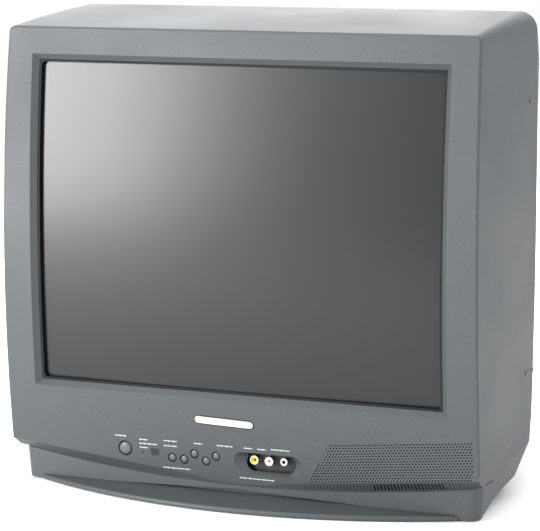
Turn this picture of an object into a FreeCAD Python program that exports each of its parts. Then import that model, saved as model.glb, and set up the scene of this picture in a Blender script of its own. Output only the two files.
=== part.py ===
import FreeCAD, Part
import math
import os
import Sketcher
from FreeCAD import Placement, Rotation, Vector

# A 21 inch television set with its cathode ray tube, millimetres.
# +Z is up, the screen faces -Y, the ground is z = 0 and x = 0 is the middle of the set.

doc = FreeCAD.newDocument("television_set")
dims = doc.addObject("Spreadsheet::Sheet", "Dims")

DIMENSIONS = [
    # front moulding
    ("wall", 3.0), ("front_wall", 5.3), ("face_radius", 1540.0), ("face_front", -212.2),
    ("face_middle", 243.4), ("face_top", 446.0), ("face_low", 41.0), ("half_width_top", 237.5),
    ("half_width_low", 241.0), ("side_bulge", 1.8), ("front_corner", 5.0), ("seam_depth", -47.0),
    ("seam_top", 463.0), ("seam_low", 56.0), ("seam_half_width", 243.8), ("seam_corner", 18.0),
    ("crease_centre", 17.0), ("crease_slope", 0.107), ("base_line_centre", 16.5),
    ("base_line_radius", 1750.0), ("base_front", -195.2), ("base_bow_radius", 2039.0),
    ("base_corner", 12.0), ("ground_gap", 1.0), ("lip_radius", 455.0), ("lip_tip", -240.0),
    ("lip_edge", 5.0), ("lip_root", 8.2),
    # screen opening and tube
    ("tube_height", 260.5), ("opening_half_width", 206.0), ("opening_half_height", 155.5),
    ("bevel", 5.0), ("mask_border", 2.0), ("mask_thick", 1.5),
    ("panel_half_width", 226.0), ("panel_half_height", 175.0), ("panel_corner", 30.0),
    ("panel_back", -133.0), ("panel_thick", 12.0), ("skirt_thick", 9.0), ("face_plan_radius", 8000.0),
    ("neck_radius", 14.6), ("neck_start", 92.0), ("neck_end", 190.0),
    ("lug_x", 229.0), ("lug_z", 178.0), ("lug_depth", -172.0),
    # rear cover
    ("cover_wall", 2.6), ("cover_back", 240.0), ("cover_low_back", 190.0),
    # controls
    ("power_x", -117.6), ("power_z", 42.7), ("power_cap", 12.5), ("key_cap", 7.6),
    ("board_thick", 1.6), ("board_height", 24.0), ("board_half_width", 160.0),
    ("board_front", -150.0), ("board_back", 172.0),
]
for row, (alias, size) in enumerate(DIMENSIONS, start=1):
    dims.set(f"A{row}", alias)
    dims.set(f"B{row}", str(size))
    dims.setAlias(f"B{row}", alias)
doc.recompute()


def mm(alias):
    """The number held in the sheet under a name."""
    return float(dims.get(alias))


# places of things that come in rows: (name, x, z) or (x, z)
KEYS = [("menu_button", -67.7, 37.6), ("input_button", -55.2, 37.0), ("volume_down_button", -44.1, 43.5),
        ("volume_up_button", -32.1, 37.3), ("channel_button", -21.4, 43.0)]
LED_AT = (-99.1, 40.3)
SENSOR_AT = (-85.6, 41.5)
JACKS = [("video", 16.1, 41.7), ("audio", 31.1, 41.6), ("earphone", 46.4, 42.4)]
GRILLE_CORNERS = [(95.2, 65.3), (71.9, 24.95), (235.6, 42.4), (236.5, 79.7)]
COVER_SCREWS = [(side * 236.5, z) for z in (120.0, 250.0, 380.0) for side in (1, -1)]
REAR_JACKS = [-128.0, -113.0, -98.0]
REAR_JACK_Z = 38.0
AERIAL_X = -60.0
CORD_X = 120.0
SPEAKER = (152.0, -184.0, 56.0)
GLASS_INSET = 7.4
BAND_SLOT_PITCH = 3.32


# ---------------------------------------------------------------- helpers

def rounded_outline(y, x_top, x_low, z_low, z_top, radius, bulge=0.0):
    """A closed upright outline at depth y: straight top and bottom, bowed sides, round corners."""
    r = radius
    k = r * (1 - math.sqrt(0.5))
    corners = []
    for side in (1, -1):
        low_start = Vector(side * (x_low - r), y, z_low)
        low_mid = Vector(side * (x_low - k), y, z_low + k)
        low_end = Vector(side * x_low, y, z_low + r)
        top_start = Vector(side * x_top, y, z_top - r)
        top_mid = Vector(side * (x_top - k), y, z_top - k)
        top_end = Vector(side * (x_top - r), y, z_top)
        middle = Vector(side * ((x_top + x_low) / 2 + bulge), y, (z_low + z_top) / 2)
        corners.append((low_start, low_mid, low_end, top_start, top_mid, top_end, middle))
    right, left = corners
    if bulge:
        right_side = Part.Arc(right[2], right[6], right[3]).toShape()
        left_side = Part.Arc(left[3], left[6], left[2]).toShape()
    else:
        right_side = Part.makeLine(right[2], right[3])
        left_side = Part.makeLine(left[3], left[2])
    edges = [
        Part.makeLine(left[0], right[0]), Part.Arc(right[0], right[1], right[2]).toShape(),
        right_side, Part.Arc(right[3], right[4], right[5]).toShape(),
        Part.makeLine(right[5], left[5]), Part.Arc(left[5], left[4], left[3]).toShape(),
        left_side, Part.Arc(left[2], left[1], left[0]).toShape(),
    ]
    return Part.Wire(edges)


def upright_prism(x_low, x_high, z_low, z_high, y_from, y_to, radius):
    """A block along y with rounded long edges."""
    outline = rounded_outline(y_from, (x_high - x_low) / 2, (x_high - x_low) / 2, z_low, z_high, radius)
    solid = Part.Face(outline).extrude(Vector(0, y_to - y_from, 0))
    solid.translate(Vector((x_low + x_high) / 2, 0, 0))
    return solid


def rod_y(x, y, z, radius, length):
    """A cylinder along +y."""
    return Part.makeCylinder(radius, length, Vector(x, y, z), Vector(0, 1, 0))


def face_depth(z, inset=0.0):
    """How far forward the curved front face is at a height."""
    radius = mm("face_radius")
    centre = mm("face_front") + radius
    return centre - math.sqrt((radius - inset) ** 2 - (z - mm("face_middle")) ** 2)


def behind_face(inset=0.0, back=400.0):
    """Everything behind the curved face, as a wide block with one curved side."""
    low, high = -60.0, 560.0
    middle = mm("face_middle")
    ends = [Vector(-400, face_depth(z, inset), z) for z in (low, middle, high)]
    edges = [
        Part.Arc(*ends).toShape(),
        Part.makeLine(ends[2], Vector(-400, back, high)),
        Part.makeLine(Vector(-400, back, high), Vector(-400, back, low)),
        Part.makeLine(Vector(-400, back, low), ends[0]),
    ]
    return Part.Face(Part.Wire(edges)).extrude(Vector(800, 0, 0))


def bind(obj, name, term):
    """Set a property from a number, or tie it to the sheet when the term is a formula."""
    if isinstance(term, str):
        obj.setExpression(name, term)
    else:
        setattr(obj, name, term)


def place(obj, base, turn=Rotation()):
    """Put an object at a base point given as numbers or formulas."""
    obj.Placement = Placement(Vector(*[0 if isinstance(term, str) else term for term in base]), turn)
    for letter, term in zip("xyz", base):
        if isinstance(term, str):
            obj.setExpression("Placement.Base." + letter, term)


TURNS = {
    "x": Rotation(Vector(0, 0, 1), Vector(1, 0, 0)),
    "y": Rotation(Vector(0, 0, 1), Vector(0, 1, 0)),
    "z": Rotation(),
}


def rod(name, radius, length, base, along="y"):
    """A plain cylinder starting at a base point."""
    obj = doc.addObject("Part::Cylinder", name)
    bind(obj, "Radius", radius)
    bind(obj, "Height", length)
    place(obj, base, TURNS[along])
    return obj


def block(name, size, base):
    """A box with its lowest corner at a base point."""
    obj = doc.addObject("Part::Box", name)
    for side, term in zip(("Length", "Width", "Height"), size):
        bind(obj, side, term)
    place(obj, base)
    return obj


def joined(name, members):
    obj = doc.addObject("Part::MultiFuse", name)
    obj.Shapes = members
    return obj


def grouped(name, members):
    obj = doc.addObject("Part::Compound", name)
    obj.Links = members
    return obj


def cut_from(name, base, tool):
    obj = doc.addObject("Part::Cut", name)
    obj.Base = base
    obj.Tool = tool
    return obj


def tube(name, outer, inner, length, base, along="y"):
    """A cylinder with a hole through it."""
    return cut_from(name, rod(name + "_outer", outer, length, base, along),
                    rod(name + "_bore", inner, length, base, along))


def drawn(body, role, outline, label):
    """A closed sketch of straight lines on one of the body's own planes."""
    plane = next(item for item in body.Origin.OriginFeatures if item.Role == role)
    sketch = body.newObject("Sketcher::SketchObject", label)
    sketch.AttachmentSupport = (plane, [""])
    sketch.MapMode = "FlatFace"
    count = len(outline)
    numbers = [[dims_number(term) for term in point] for point in outline]
    for index in range(count):
        start = Vector(*numbers[index], 0)
        end = Vector(*numbers[(index + 1) % count], 0)
        sketch.addGeometry(Part.LineSegment(start, end))
    for index in range(count):
        sketch.addConstraint(Sketcher.Constraint("Coincident", index, 2, (index + 1) % count, 1))
        for kind, term, number in zip(("DistanceX", "DistanceY"), outline[index], numbers[index]):
            if number == 0:
                axis = -2 if kind == "DistanceX" else -1
                sketch.addConstraint(Sketcher.Constraint("PointOnObject", index, 1, axis))
                continue
            place_at = sketch.addConstraint(Sketcher.Constraint(kind, -1, 1, index, 1, number))
            if isinstance(term, str):
                sketch.setExpression(f"Constraints[{place_at}]", term)
    return sketch


def dims_number(term):
    """The present value of a number or of a formula on the sheet."""
    if not isinstance(term, str):
        return float(term)
    return float(dims.evalExpression(term))


def turned(name, outline, base, angle=360.0):
    """A solid of revolution about the tube axis; outline points are (depth, radius)."""
    body = doc.addObject("PartDesign::Body", name)
    sketch = drawn(body, "YZ_Plane", outline, name + "_profile")
    feature = body.newObject("PartDesign::Revolution", name + "_turn")
    feature.Profile = sketch
    feature.ReferenceAxis = (sketch, ["H_Axis"])
    feature.Angle = angle
    feature.Midplane = angle < 360
    place(body, base)
    return body


def padded(name, role, outline, length, base, backwards=False):
    """A flat outline drawn on one of the main planes and padded."""
    body = doc.addObject("PartDesign::Body", name)
    sketch = drawn(body, role, outline, name + "_outline")
    feature = body.newObject("PartDesign::Pad", name + "_pad")
    feature.Profile = sketch
    bind(feature, "Length", length)
    feature.Reversed = backwards
    place(body, base)
    return body


def moulded(name, shape):
    """A free-form piece whose shape is worked out from the sheet."""
    obj = doc.addObject("Part::Feature", name)
    obj.Shape = shape
    return obj


AXIS = (0, 0, "Dims.tube_height")
pieces = {}


def keep(node, obj):
    """Register a finished sub-part under its node name."""
    obj.Label = node
    pieces[node] = obj
    return obj


# ---------------------------------------------------------------- front moulding

def upper_hull(inset):
    """The flaring box of the front moulding, shrunk by a wall thickness."""
    sections = []
    for share, lift in ((0.0, 0.0), (0.5, 1.5), (1.0, 0.0)):
        front = mm("face_front") - 3
        back = mm("seam_depth") + (2 * inset if inset else 0)
        depth = front + share * (back - front)
        x_top = mm("half_width_top") + share * (mm("seam_half_width") - mm("half_width_top")) + lift / 2
        x_low = mm("half_width_low") + share * (mm("seam_half_width") - mm("half_width_low")) + lift / 2
        z_low = mm("face_low") + share * (mm("seam_low") - mm("face_low"))
        z_top = mm("face_top") - 1 + share * (mm("seam_top") - mm("face_top") + 1) + lift
        corner = mm("front_corner") + share * (mm("seam_corner") - mm("front_corner"))
        sections.append(rounded_outline(depth, x_top - inset, x_low - inset, z_low + inset,
                                        z_top - inset, max(corner - inset, 2.0), mm("side_bulge")))
    return Part.makeLoft(sections, True, False)


def crease_height(x):
    return mm("crease_centre") + mm("crease_slope") * abs(x)


def base_line(x):
    """Height of the dark line between the sloping band and the base wall."""
    return mm("base_line_centre") + x * x / (2 * mm("base_line_radius"))


def base_front(x):
    """Depth of the bowed base wall."""
    return mm("base_front") + x * x / (2 * mm("base_bow_radius"))


def chin_loft(side, stations, ruled=False):
    """Half of the chin, lofted over upright slices from the middle outwards.

    The first two points of a slice are the top and bottom of the sloping band; the
    top one is drawn on past the face so that the face trims it.
    """
    sections = []
    for x, profile in stations:
        points = [Vector(side * x, y, z) for y, z in profile]
        slope = points[0] - points[1]
        slope.normalize()
        points[0] = points[0] + slope * 6
        sections.append(Part.makePolygon(points + points[:1]))
    return Part.makeLoft(sections, True, ruled)


def chin_outside(side):
    stations = []
    for x in (0.0, 60.0, 120.0, 180.0, 231.0):
        crease = crease_height(x)
        line = base_line(x)
        back_low = line - 6 + (mm("seam_low") - 44) * (x / 231.0) ** 2
        stations.append((x, [
            (face_depth(crease), crease), (base_front(x), line), (base_front(x) + 4, line - 6),
            (mm("seam_depth"), back_low), (mm("seam_depth"), 75), (mm("face_front") - 6, 75)]))
    return chin_loft(side, stations)


def overhang(side):
    """The narrow strip outside the base wall, where the sloping band runs out to the side."""
    crease = crease_height(231.0)
    line = base_line(231.0)
    back = mm("seam_depth")
    ahead = mm("face_front") - 6
    inner = [(face_depth(crease), crease), (base_front(231.0), line), (back, line + 12),
             (back, 70), (ahead, 70)]
    outer = [(face_depth(43), 43), (-184, 33.5), (back, mm("seam_low") + 1), (back, 70), (ahead, 70)]
    return chin_loft(side, [(231.0, inner), (mm("half_width_low") - 0.5, outer)], True)


def chin_inside(side):
    stations = []
    floor = mm("ground_gap") + mm("wall")
    for x in (0.0, 60.0, 120.0, 180.0, 227.0):
        crease = crease_height(x) + 2
        wall = base_front(x) + 6.5
        back = mm("seam_depth") + 5
        stations.append((x, [
            (face_depth(crease, mm("front_wall")), crease), (wall, base_line(x) + 1), (wall, floor),
            (back, floor), (back, 80), (mm("face_front") - 6, 80)]))
    return chin_loft(side, stations)


# the base in layers from the ground up: front height, rear height, front half width, rear half width
BASE_LAYERS = [(1.0, 1.0, 234.5, 213.0), (10.0, 14.0, 235.5, 228.0), (36.0, 50.0, 238.5, 242.2),
               (44.0, 72.0, 239.4, 243.4)]


def base_outline(layer, inset):
    """One layer of the base seen from above: bowed front, round corners, sides running to the seam."""
    z_front, z_back, half_front, half_back = layer
    corner = mm("base_corner")
    back = mm("seam_depth")
    bow_end = half_front - corner
    bend = base_front(bow_end)
    rise = (z_back - z_front) / (back - mm("base_front"))

    def point(x, y):
        return Vector(x, y, z_front + rise * (y - mm("base_front")))

    middle = point(0, base_front(0) + inset)
    diagonal = (corner - inset) * math.sqrt(0.5)
    right, left = [(point(side * bow_end, bend + inset),
                    point(side * (bow_end + diagonal), bend + corner - diagonal),
                    point(side * (half_front - inset), bend + corner),
                    point(side * (half_back - inset), back)) for side in (1, -1)]
    edges = [
        Part.Arc(left[0], middle, right[0]).toShape(), Part.Arc(right[0], right[1], right[2]).toShape(),
        Part.makeLine(right[2], right[3]), Part.makeLine(right[3], left[3]),
        Part.makeLine(left[3], left[2]), Part.Arc(left[2], left[1], left[0]).toShape()]
    return Part.Wire(edges)


def base_block(inset=0.0):
    """The base: its sides flare outwards from the ground up to the hull.

    The smaller one that hollows it out reaches higher, into the room behind the screen.
    """
    layers = BASE_LAYERS + [(64.0, 92.0, 240.4, 243.8)] if inset else BASE_LAYERS
    return Part.makeLoft([base_outline(layer, inset) for layer in layers], True, True)


def base_line_groove():
    """The fine dark line between the sloping band and the base."""
    high = [Vector(x, -240, base_line(x) + 0.3) for x in (-300, 0, 300)]
    low = [point - Vector(0, 0, 1.0) for point in high]
    strip = Part.Wire([
        Part.Arc(*high).toShape(), Part.makeLine(high[2], low[2]),
        Part.Arc(low[2], low[1], low[0]).toShape(), Part.makeLine(low[0], high[0])])
    return Part.Face(strip).extrude(Vector(0, 92, 0)).cut(base_block(1.2))


def lip_shape():
    """The low round-fronted lip that reaches forward along the ground."""
    radius = mm("lip_radius")
    middle = Vector(0, mm("lip_tip") + radius, mm("ground_gap"))
    edge = mm("lip_edge") - mm("ground_gap")
    slope_run = mm("base_front") - mm("lip_tip")
    low = Part.makeCylinder(radius, edge, middle)
    high = Part.makeCone(radius, radius - slope_run, mm("lip_root") - mm("lip_edge"),
                         middle + Vector(0, 0, edge))
    disc = low.fuse(high)
    rim = [item for item in disc.Edges if abs(item.BoundBox.ZMin - mm("lip_edge")) < 0.01
           and abs(item.BoundBox.ZMax - mm("lip_edge")) < 0.01]
    disc = disc.makeFillet(2.2, rim)
    return disc.common(Part.makeBox(444, 56, 30, Vector(-222, mm("lip_tip") - 1, 0)))


def wall_foot_gap(lip):
    """The wedge-shaped gap between the foot of the base wall and the lip."""
    outline = [(-195, 4.6), (0, 12.2), (195, 4.6), (195, 1), (-195, 1)]
    outline = [Vector(x, -245, z) for x, z in outline]
    wedge = Part.Face(Part.makePolygon(outline + outline[:1])).extrude(Vector(0, 80, 0))
    bow = [Vector(x, base_front(x) + 4.5, 0) for x in (-200, 0, 200)]
    ahead = Part.Wire([
        Part.Arc(*bow).toShape(), Part.makeLine(bow[2], Vector(200, -250, 0)),
        Part.makeLine(Vector(200, -250, 0), Vector(-200, -250, 0)),
        Part.makeLine(Vector(-200, -250, 0), bow[0])])
    return wedge.common(Part.Face(ahead).extrude(Vector(0, 0, 20))).cut(lip)


def front_cabinet_shape():
    """The whole front moulding: face, chin, base and lip, hollow and open at the back."""
    sides = (1, -1)
    hull = rounded_face_edge(upper_hull(0).common(behind_face()))
    chin = chin_outside(1).fuse([chin_outside(-1)] + [overhang(s) for s in sides])
    lip = lip_shape()
    body = hull.fuse([chin.common(behind_face()), base_block(), lip])

    under_tube = chin_inside(1).fuse(chin_inside(-1)).common(base_block(mm("wall")))
    rear_way = Part.makeBox(404, 32, 60, Vector(-202, -72, mm("ground_gap") + mm("wall")))
    cavity = upper_hull(mm("wall")).fuse([under_tube, rear_way]).common(behind_face(mm("front_wall")))
    speaker_room = Part.makeBox(128, 26, 51.2, Vector(88, -184.5, 30.8))
    body = body.cut(cavity.fuse(speaker_room))

    tools = [screen_opening(), front_holes(), grille_window(), base_line_groove(), wall_foot_gap(lip)]
    body = body.cut(tools + band_slots())
    return body.fuse(front_bosses()).removeSplitter()


def rounded_face_edge(hull):
    """Round the outer edge of the face at the top and the sides."""
    rim = []
    for item in hull.Edges:
        box = item.BoundBox
        ahead = abs(item.CenterOfMass.y - face_depth(item.CenterOfMass.z)) < 2.5
        if ahead and box.YMax < -150 and box.ZMax > 60:
            rim.append(item)
    return hull.makeFillet(2.4, rim)


def screen_opening():
    """The screen hole with a rim that widens by its own depth and follows the curved face."""
    half_x, half_z = mm("opening_half_width"), mm("opening_half_height")
    centre, bevel = mm("tube_height"), mm("bevel")
    straight = upright_prism(-half_x, half_x, centre - half_z, centre + half_z, -230, -150, 3.5)
    rings = []
    for ahead, grow in ((-0.6, 0.0), (bevel + 8, bevel + 8.6)):
        heights = (centre - half_z - grow, centre, centre + half_z + grow)
        sides = []
        for x in (-half_x - grow, half_x + grow):
            points = [Vector(x, face_depth(z, bevel) - ahead, z) for z in heights]
            sides.append((Part.Arc(*points).toShape(), points[0], points[2]))
        rings.append(sides)
    (back_left, back_right), (front_left, front_right) = rings
    faces = [Part.makeRuledSurface(first[0], second[0]) for first, second in (
        (back_left, front_left), (back_right, front_right), (back_left, back_right),
        (front_left, front_right))]
    for end in (1, 2):
        back_edge = Part.makeLine(back_left[end], back_right[end])
        front_edge = Part.makeLine(front_left[end], front_right[end])
        faces.append(Part.makeRuledSurface(back_edge, front_edge))
    shell = Part.Shell(faces)
    shell.sewShape()
    rim = Part.Solid(shell)
    if rim.Volume < 0:
        rim.reverse()
    return straight.fuse(rim)


def stadium(x_low, x_high, z_low, z_high, y):
    """An upright outline with half-round ends."""
    half = (x_high - x_low) / 2
    outline = rounded_outline(y, half, half, z_low, z_high, (z_high - z_low) / 2 - 0.05)
    outline.translate(Vector((x_low + x_high) / 2, 0, 0))
    return outline


def front_holes():
    """Holes for the power button, the small buttons, the lamp, the sensor and the jacks."""
    tools = [rod_y(mm("power_x"), -230, mm("power_z"), mm("power_cap") / 2 + 1.2, 60)]
    for _, x, z in KEYS:
        tools.append(rod_y(x, -230, z, mm("key_cap") / 2 + 0.8, 60))
    tools.append(rod_y(LED_AT[0], -230, LED_AT[1], 1.6, 60))
    tools.append(Part.makeBox(8.0, 60, 7.0, Vector(SENSOR_AT[0] - 4.0, -230, SENSOR_AT[1] - 3.5)))
    jack_recess = Part.makeLoft([stadium(8.0, 58.6, 31.0, 47.9, -193.0),
                                 stadium(-16.8, 76.5, 22.7, 51.4, -206.0)], True, True)
    jack_window = Part.Face(stadium(8.0, 58.6, 31.0, 47.9, -196.0)).extrude(Vector(0, 20, 0))
    tools.append(jack_recess.fuse(jack_window))
    return Part.makeCompound(tools)


def grille_window():
    """The slanted window of the loudspeaker grille, as a prism through the face."""
    points = [Vector(x, -230, z) for x, z in GRILLE_CORNERS]
    return Part.Face(Part.makePolygon(points + points[:1])).extrude(Vector(0, 80, 0))


def band_slots():
    """The upright slots in the sloping band, with shallow blind grooves to both sides of them."""
    slots = []
    for index in range(-21, 31):
        x = 137.7 + BAND_SLOT_PITCH * index
        low, high = base_line(x) + 1.6, crease_height(x) - 1.9
        if 0 <= index <= 20:
            slots.append(Part.makeBox(1.8, 30, high - low, Vector(x - 0.9, -206, low)))
            continue
        top = (face_depth(crease_height(x)), crease_height(x))
        bottom = (base_front(x), base_line(x))
        lean = (bottom[0] - top[0]) / (top[1] - bottom[1])
        profile = []
        for z, depth in ((low, 0.5), (high, 0.5), (high, -6.0), (low, -6.0)):
            profile.append(Vector(x - 0.6, top[0] + lean * (top[1] - z) + depth, z))
        slots.append(Part.Face(Part.makePolygon(profile + profile[:1])).extrude(Vector(1.2, 0, 0)))
    return slots


def front_bosses():
    """Posts inside the moulding that take the tube and rear cover screws."""
    posts = []
    for side_x in (1, -1):
        for side_z in (1, -1):
            x = side_x * mm("lug_x")
            z = mm("tube_height") + side_z * mm("lug_z")
            start = face_depth(z, mm("front_wall") - 1)
            post = rod_y(x, start, z, 5.5, mm("lug_depth") - start)
            posts.append(post.cut(rod_y(x, mm("lug_depth") - 14, z, 2.6, 15)))
    for x, z in COVER_SCREWS:
        block = rod_y(x, mm("seam_depth") - 24, z, 5.0, 24)
        web_x = math.copysign(8.6, x)
        web = Part.makeBox(abs(web_x), 24, 4, Vector(min(x, x + web_x), mm("seam_depth") - 24, z - 2))
        posts.append(block.fuse(web).cut(rod_y(x, mm("seam_depth") - 20, z, 1.7, 21)))
    return posts


# ---------------------------------------------------------------- rear cover

def cover_upper(inset):
    """The tapering hump over the tube, as straight-sided lofts."""
    steps = [
        (mm("seam_depth"), mm("seam_half_width"), mm("seam_half_width"), mm("seam_low"),
         mm("seam_top"), 18.0),
        (20.0, 226.0, 222.0, 58.0, 444.0, 30.0),
        (110.0, 168.0, 172.0, 62.0, 398.0, 36.0),
        (180.0, 104.0, 150.0, 66.0, 346.0, 36.0),
        (mm("cover_back"), 84.0, 96.0, 150.0, 334.0, 30.0),
    ]
    lofts = []
    for first, second in zip(steps, steps[1:]):
        pair = []
        for y, x_top, x_low, z_low, z_top, corner in (first, second):
            if inset and y == mm("cover_back"):
                y = y - inset
            if inset and y == mm("seam_depth"):
                y = y - 1
            pair.append(rounded_outline(y, x_top - inset, x_low - inset, z_low + inset, z_top - inset,
                                        corner - inset))
        lofts.append(Part.makeLoft(pair, True, True))
    return lofts


def cover_lower(inset):
    """The box over the main board, under the tube."""
    front = mm("seam_depth") - (1 if inset else 0)
    back = mm("cover_low_back") - inset
    pair = [
        rounded_outline(front, 216 - inset, 216 - inset, 4 + inset, 90 - inset, 12 - inset),
        rounded_outline(back, 170 - inset, 170 - inset, 4 + inset, 90 - inset, 12 - inset),
    ]
    return Part.makeLoft(pair, True, True)


def rear_cover_shape():
    """The rear cover with its vents, socket openings, cord opening and screw holes."""
    outside = cover_lower(0).fuse(cover_upper(0))
    inside = cover_lower(mm("cover_wall")).fuse(cover_upper(mm("cover_wall")))
    shell = outside.cut(inside)
    tools = []
    for side in (1, -1):
        for index in range(9):
            x = side * (14 + 9.0 * index)
            tools.append(Part.makeBox(3.0, 44, 60, Vector(x - 1.5, 28, 400)))
        for index in range(12):
            tools.append(Part.makeBox(60, 34, 2.6, Vector(side * 190 - 30, 40, 120 + 7.0 * index)))
    for index in range(11):
        tools.append(Part.makeBox(84, 30, 2.6, Vector(-42, 226, 190 + 7.0 * index)))
    for index in range(14):
        tools.append(Part.makeBox(3.0, 60, 20, Vector(-66.5 + 10.0 * index, 20, -4)))
    for x in REAR_JACKS:
        tools.append(rod_y(x, 150, REAR_JACK_Z, 4.6, 60))
    tools.append(rod_y(AERIAL_X, 150, REAR_JACK_Z, 5.2, 60))
    tools.append(rod_y(CORD_X, 150, REAR_JACK_Z, 6.2, 60))
    for x, z in COVER_SCREWS:
        pocket = rod_y(x, mm("seam_depth") + 4, z, 6.5, 80)
        tools.append(pocket)
        shell = shell.fuse(rod_y(x, mm("seam_depth"), z, 8.0, 34).common(outside))
        tools.append(rod_y(x, mm("seam_depth") - 1, z, 2.3, 20))
    return shell.cut(Part.makeCompound(tools)).removeSplitter()


# ---------------------------------------------------------------- picture tube

def superellipse(y, half_x, half_z, power):
    """One smooth closed slice of the glass funnel."""
    points = []
    count = 40
    for index in range(count):
        angle = 2 * math.pi * index / count
        cosine, sine = math.cos(angle), math.sin(angle)
        x = math.copysign(abs(cosine) ** (2.0 / power), cosine) * half_x
        z = math.copysign(abs(sine) ** (2.0 / power), sine) * half_z
        points.append(Vector(x, y, mm("tube_height") + z))
    curve = Part.BSplineCurve()
    curve.interpolate(Points=points, PeriodicFlag=True)
    return Part.Wire([curve.toShape()])


def funnel_loft(inset, extra):
    slices = []
    for y, half_x, half_z, power, share in (
            (mm("panel_back") - extra, 222.0, 171.0, 7.0, 1.0), (-82.0, 192.0, 150.0, 4.6, 1.0),
            (-32.0, 140.0, 114.0, 3.2, 0.9), (8.0, 90.0, 78.0, 2.5, 0.8), (42.0, 50.0, 49.0, 2.0, 0.7),
            (68.0, 28.0, 28.0, 2.0, 0.5),
            (mm("neck_start") + extra, mm("neck_radius"), mm("neck_radius"), 2.0, 0.4)):
        slices.append(superellipse(y, half_x - inset * share, half_z - inset * share, power))
    return Part.makeLoft(slices, True, False)


def funnel_shape():
    return funnel_loft(0, 0).cut(funnel_loft(4.0, 0.5))


def glass_front(inset):
    """The doubly curved drum that shapes the front of the glass, as a thin slice of a huge ring."""
    radius = mm("face_radius") - inset
    middle = mm("face_middle")
    depths = [Vector(0, face_depth(z, inset), z) for z in (40.0, middle, 480.0)]
    back = 0.0
    profile = Part.Wire([
        Part.Arc(*depths).toShape(), Part.makeLine(depths[2], Vector(0, back, 480.0)),
        Part.makeLine(Vector(0, back, 480.0), Vector(0, back, 40.0)),
        Part.makeLine(Vector(0, back, 40.0), depths[0])])
    pivot = Vector(0, face_depth(middle, inset) + mm("face_plan_radius"), 0)
    face = Part.Face(profile)
    face.rotate(pivot, Vector(0, 0, 1), -2.2)
    return face.revolve(pivot, Vector(0, 0, 1), 4.4)


def panel_shape():
    """The thick glass front with its skirt."""
    half_x, half_z = mm("panel_half_width"), mm("panel_half_height")
    centre, skirt = mm("tube_height"), mm("skirt_thick")
    outer = upright_prism(-half_x, half_x, centre - half_z, centre + half_z, -230, mm("panel_back"),
                          mm("panel_corner"))
    outer = outer.common(glass_front(GLASS_INSET))
    inner = upright_prism(-half_x + skirt, half_x - skirt, centre - half_z + skirt, centre + half_z - skirt,
                          -230, mm("panel_back") + 1, mm("panel_corner") - skirt)
    return outer.cut(inner.common(glass_front(GLASS_INSET + mm("panel_thick"))))


def sheet_behind_glass(inset, thick, half_x, half_z, corner):
    """A thin curved sheet that follows the inside of the glass."""
    centre = mm("tube_height")
    outline = upright_prism(-half_x, half_x, centre - half_z, centre + half_z, -230, -100, corner)
    return outline.common(glass_front(inset)).cut(glass_front(inset + thick))


def screen_mask_shape():
    """The black border between the moulding and the glass."""
    centre = mm("tube_height")
    half_x, half_z, border = mm("opening_half_width"), mm("opening_half_height"), mm("mask_border")
    outer = upright_prism(-half_x - 16, half_x + 16, centre - half_z - 16, centre + half_z + 16,
                          -230, -100, 18)
    inner = upright_prism(-half_x + border, half_x - border, centre - half_z + border,
                          centre + half_z - border, -230, -100, 4)
    front = mm("front_wall") + 0.3
    ring = outer.cut(inner).common(behind_face(front)).cut(behind_face(front + mm("mask_thick")))
    return ring


def rect_ring(half_x, half_z, corner, thick, y_from, y_to):
    """A rounded rectangular band around the tube axis."""
    centre = mm("tube_height")
    outer = upright_prism(-half_x, half_x, centre - half_z, centre + half_z, y_from, y_to, corner)
    inner = upright_prism(-half_x + thick, half_x - thick, centre - half_z + thick, centre + half_z - thick,
                          y_from - 1, y_to + 1, max(corner - thick, 1.0))
    return outer.cut(inner)


def rim_band_shape():
    """The steel tension band with its four corner lugs."""
    gap = 0.4
    half_x, half_z = mm("panel_half_width") + gap, mm("panel_half_height") + gap
    depth = mm("lug_depth")
    band = rect_ring(half_x + 1.4, half_z + 1.4, mm("panel_corner") + gap + 1.4, 1.4, depth, depth + 24)
    inside = upright_prism(-half_x, half_x, mm("tube_height") - half_z, mm("tube_height") + half_z,
                           depth - 1, depth + 30, mm("panel_corner") + gap)
    for side_x in (1, -1):
        for side_z in (1, -1):
            x = side_x * mm("lug_x")
            z = mm("tube_height") + side_z * mm("lug_z")
            plate = rod_y(x, depth, z, 6.5, 2.0)
            root = Part.makeBox(24, 2.0, 12, Vector(-24, depth, -6))
            root.rotate(Vector(0, 0, 0), Vector(0, 1, 0), -45 * side_z if side_x > 0 else 180 + 45 * side_z)
            root.translate(Vector(x, 0, z))
            lug = plate.fuse(root).cut(inside).cut(rod_y(x, depth - 1, z, 3.1, 5))
            lug = max(lug.Solids, key=lambda solid: solid.Volume)
            band = band.fuse(lug)
    return band


def shield_shape():
    """The thin steel magnetic shield inside the funnel."""
    pair_out, pair_in = [], []
    for y, half_x, half_z in ((-146.0, 196.0, 146.0), (-74.0, 136.0, 104.0)):
        centre = mm("tube_height")
        pair_out.append(rounded_outline(y, half_x, half_x, centre - half_z, centre + half_z, 20.0))
        pair_in.append(rounded_outline(y, half_x - 0.9, half_x - 0.9, centre - half_z + 0.9,
                                       centre + half_z - 0.9, 19.1))
    return Part.makeLoft(pair_out, True, True).cut(Part.makeLoft(pair_in, True, True))


def ring_of_wire(y, half_x, half_z, corner, radius):
    """A thick bundle of wire bent into a rounded rectangle around the tube."""
    centre = mm("tube_height")
    path = rounded_outline(y, half_x, half_x, centre - half_z, centre + half_z, corner)
    start = path.Edges[0].valueAt(path.Edges[0].FirstParameter)
    profile = Part.Wire([Part.makeCircle(radius, start, Vector(1, 0, 0))])
    return path.makePipeShell([profile], True, True)


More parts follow.
